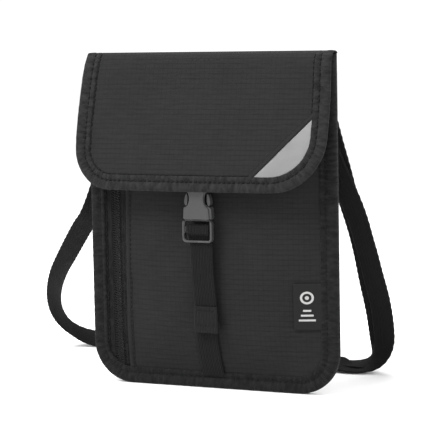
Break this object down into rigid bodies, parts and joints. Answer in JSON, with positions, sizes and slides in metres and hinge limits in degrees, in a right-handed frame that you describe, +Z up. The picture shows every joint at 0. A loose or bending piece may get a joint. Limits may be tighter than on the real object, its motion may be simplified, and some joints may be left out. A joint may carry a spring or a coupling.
{
  "type": "neck pouch wallet",
  "caption": "Flat upright fabric travel pouch with a buckled front flap, side zip pocket, bound edges, corner patch and a long webbing neck strap.",
  "frame": {"origin": "on the underside of the bottom bound edge, at mid width, in the plane where front and back are sewn together", "axes": "+X to the wearer's left (right in a front view), -Y out of the front, +Z up from the bottom edge to the flap's fold"},
  "size_m": [0.2493, 0.1398, 0.2],
  "materials": {
    "pack_cloth": "ripstop nylon, charcoal, matt, with a fine square grid",
    "flap_cloth": "ripstop nylon, charcoal, slightly lighter",
    "binding": "woven bias tape, dark grey, wrinkled",
    "lining": "thin plain lining, mid grey",
    "foam": "closed-cell foam, dull",
    "foil": "metallised shielding film",
    "webbing": "ribbed polypropylene webbing, black",
    "zip_tape": "woven zip tape, black",
    "zip_coil": "nylon coil, satin black",
    "zip_metal": "black painted zinc, satin",
    "label": "satin woven label with a plain light motif",
    "patch": "grey retroreflective cloth",
    "buckle": "acetal, satin dark grey"
  },
  "bodies": {
    "pouch_body": {"back_panel": "pack_cloth", "front_panel": "pack_cloth", "foam_pad": "foam", "rfid_shield": "foil", "back_lining": "lining", "pocket_divider": "lining", "zipper_tape_left": "zip_tape", "zipper_tape_right": "zip_tape", "zipper_coil": "zip_coil", "mouth_binding": "binding", "body_binding": "binding", "side_label": "label", "front_strap": "webbing", "strap_tab_left": "webbing", "strap_tab_right": "webbing", "neck_strap": "webbing", "neck_strap_return": "webbing"},
    "flap": {"flap_panel": "flap_cloth", "flap_stiffener": "foam", "flap_lining": "lining", "flap_binding": "binding", "reflective_patch": "patch", "patch_piping": "flap_cloth", "buckle_tether": "webbing", "buckle_female": "buckle"},
    "buckle_plug": {"buckle_male": "buckle", "front_strap_tail": "webbing"},
    "prong_left": {"buckle_prong_left": "buckle"},
    "prong_right": {"buckle_prong_right": "buckle"},
    "slider": {"zipper_slider": "zip_metal"},
    "pull": {"zipper_pull": "zip_metal"},
    "adjuster": {"strap_adjuster": "buckle"}
  },
  "joints": [
    {"name": "flap_hinge", "type": "hinge", "parent": "pouch_body", "child": "flap", "pos_m": [0, 0.0034, 0.1973], "axis": [-1, 0, 0], "range_deg": [0, 180]},
    {"name": "buckle_release", "type": "slide", "parent": "pouch_body", "child": "buckle_plug", "axis": [0, 0, -1], "range_m": [0, 0.016]},
    {"name": "prong_left_squeeze", "type": "hinge", "parent": "buckle_plug", "child": "prong_left", "pos_m": [-0.0038, -0.0199, 0.1035], "axis": [0, 1, 0], "range_deg": [0, 7], "stiffness_Nm_per_rad": 0.05},
    {"name": "prong_right_squeeze", "type": "hinge", "parent": "buckle_plug", "child": "prong_right", "pos_m": [0.0058, -0.0199, 0.1035], "axis": [0, -1, 0], "range_deg": [0, 7], "stiffness_Nm_per_rad": 0.05},
    {"name": "zipper_slide", "type": "slide", "parent": "pouch_body", "child": "slider", "axis": [0, 0, -1], "range_m": [0, 0.14]},
    {"name": "zipper_pull_swing", "type": "hinge", "parent": "slider", "child": "pull", "pos_m": [-0.06294, -0.00606, 0.176], "axis": [-0.9667, 0.256, 0], "range_deg": [0, 18]},
    {"name": "adjuster_slide", "type": "slide", "parent": "pouch_body", "child": "adjuster", "axis": [1, 0, 0], "range_m": [-0.028, 0.019]}
  ],
  "couplings": [
    {"joint": "prong_right_squeeze", "follows": "prong_left_squeeze", "ratio": 1}
  ]
}
